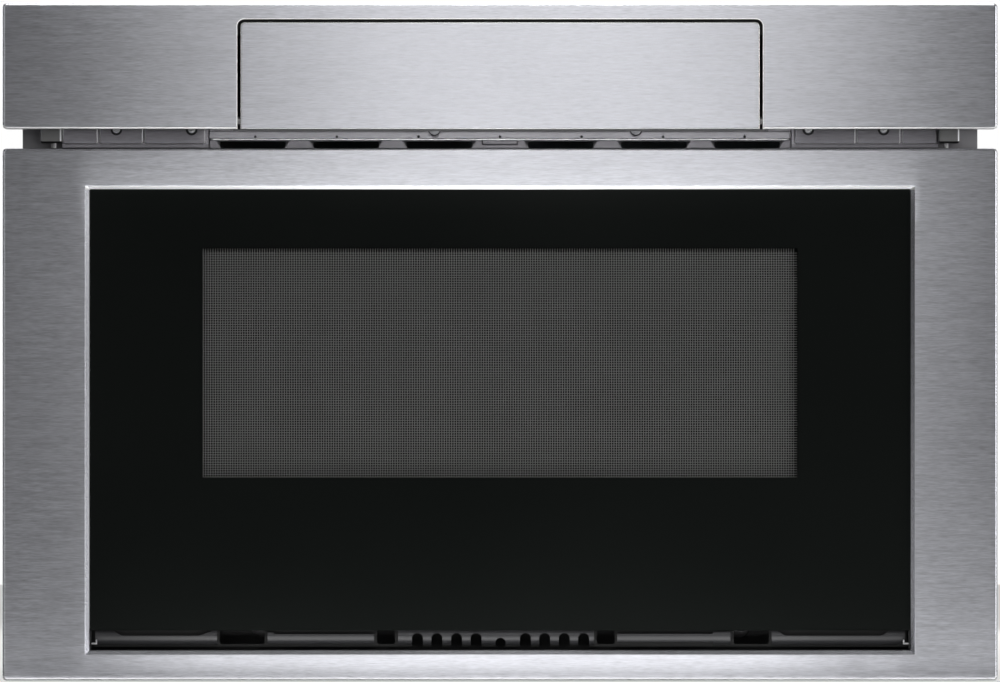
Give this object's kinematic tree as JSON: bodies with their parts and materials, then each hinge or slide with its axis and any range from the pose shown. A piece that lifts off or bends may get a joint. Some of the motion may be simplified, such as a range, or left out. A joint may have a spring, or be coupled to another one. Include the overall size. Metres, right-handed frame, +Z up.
{
  "type": "microwave drawer",
  "caption": "Built-in microwave drawer: a stainless drawer front with a black window slides out under a fascia whose flap hides a turning control panel.",
  "frame": {"origin": "middle of the bottom of the bounding box, the drawer shut: under the drawer front's lower edge, halfway back", "axes": "+Z up, -Y towards the user, +X to the user's right as they face it"},
  "size_m": [0.6064, 0.594, 0.4126],
  "materials": {
    "stainless": "brushed stainless front",
    "bright_steel": "bright plated steel",
    "zinc_steel": "zinc-plated sheet",
    "grey_paint": "satin grey coated sheet",
    "dark_paint": "dark coated sheet",
    "light_paint": "light grey cavity enamel",
    "black_glass": "black tinted glass",
    "clear_glass": "clear pane",
    "black_plastic": "black moulding",
    "button_plastic": "grey domed caps",
    "tub_plastic": "light grey moulding",
    "ceramic": "pale ceramic",
    "board": "circuit board",
    "dull_steel": "plain steel",
    "aluminium": "bare aluminium",
    "varnish": "varnished winding"
  },
  "bodies": {
    "chassis": {"fascia_panel": "stainless", "fascia_brackets": "zinc_steel", "control_well": "black_plastic", "button_switches": "black_plastic", "vent_louver": "grey_paint", "gap_side_plates": "grey_paint", "gap_screws": "bright_steel", "gap_blocks": "grey_paint", "gap_pins": "bright_steel", "front_flange": "dark_paint", "slide_outer": "zinc_steel", "slide_brackets": "zinc_steel", "drive_gearbox": "tub_plastic", "drive_motor": "dull_steel", "base_plate": "zinc_steel", "outer_case": "zinc_steel", "rear_panel": "zinc_steel", "oven_cavity": "light_paint", "waveguide": "zinc_steel", "waveguide_cover": "ceramic", "magnetron": "dull_steel", "stirrer_motor": "dull_steel", "transformer_core": "dull_steel", "transformer_windings": "varnish", "capacitor": "aluminium", "power_board": "board", "noise_filter": "board", "fan_shroud": "black_plastic", "fan_motor": "dull_steel", "lamp_holder": "ceramic", "lamp_bulb": "clear_glass", "switch_bracket": "zinc_steel", "interlock_switches": "black_plastic", "cord_gland": "black_plastic"},
    "drawer": {"drawer_frame": "stainless", "drawer_glass": "black_glass", "window_screen": "zinc_steel", "door_pan": "light_paint", "choke_cover": "black_plastic", "window_inner_pane": "clear_glass", "bottom_grille": "grey_paint", "corner_clips": "bright_steel", "drawer_tub": "tub_plastic", "tub_tray": "ceramic", "drawer_carrier": "zinc_steel", "slide_inner": "zinc_steel", "latch_hooks": "tub_plastic", "drive_rack": "tub_plastic"},
    "slide_middles": {"slide_middle": "zinc_steel"},
    "control_panel": {"control_flap": "stainless", "control_carriage": "black_plastic", "control_glass": "black_glass", "control_board": "board", "hinge_pins": "bright_steel"},
    "panel_button": {"panel_button": "button_plastic"},
    "drawer_button": {"drawer_button": "button_plastic"},
    "pinion": {"drive_pinion": "tub_plastic", "pinion_shaft": "bright_steel"},
    "cooling_fan": {"fan_blade": "black_plastic"},
    "stirrer": {"stirrer": "aluminium"}
  },
  "joints": [
    {"name": "drawer_slide", "type": "slide", "parent": "chassis", "child": "drawer", "axis": [0, -1, 0], "range_m": [0, 0.381]},
    {"name": "middle_slide", "type": "slide", "parent": "chassis", "child": "slide_middles", "axis": [0, -1, 0], "range_m": [0, 0.1906]},
    {"name": "pinion_spin", "type": "hinge", "parent": "chassis", "child": "pinion", "pos_m": [0.018, -0.235, 0.049], "axis": [0, 0, 1], "range_deg": [0, 1213.5]},
    {"name": "panel_hinge", "type": "hinge", "parent": "chassis", "child": "control_panel", "pos_m": [0, -0.292, 0.3411], "axis": [1, 0, 0], "range_deg": [0, 90]},
    {"name": "panel_button_press", "type": "slide", "parent": "chassis", "child": "panel_button", "axis": [0, 0, 1], "range_m": [0, 0.002], "stiffness_N_per_m": 400, "springref_m": -0.0005},
    {"name": "drawer_button_press", "type": "slide", "parent": "chassis", "child": "drawer_button", "axis": [0, 0, 1], "range_m": [0, 0.002], "stiffness_N_per_m": 400, "springref_m": -0.0005},
    {"name": "fan_spin", "type": "hinge", "parent": "chassis", "child": "cooling_fan", "pos_m": [-0.15, 0.262, 0.2], "axis": [0, 1, 0], "continuous": true},
    {"name": "stirrer_spin", "type": "hinge", "parent": "chassis", "child": "stirrer", "pos_m": [0, -0.11, 0.27], "axis": [0, 0, 1], "continuous": true}
  ],
  "couplings": [
    {"joint": "middle_slide", "follows": "drawer_slide", "ratio": 0.5},
    {"joint": "pinion_spin", "follows": "drawer_slide", "rad_per_m": 55.556}
  ]
}
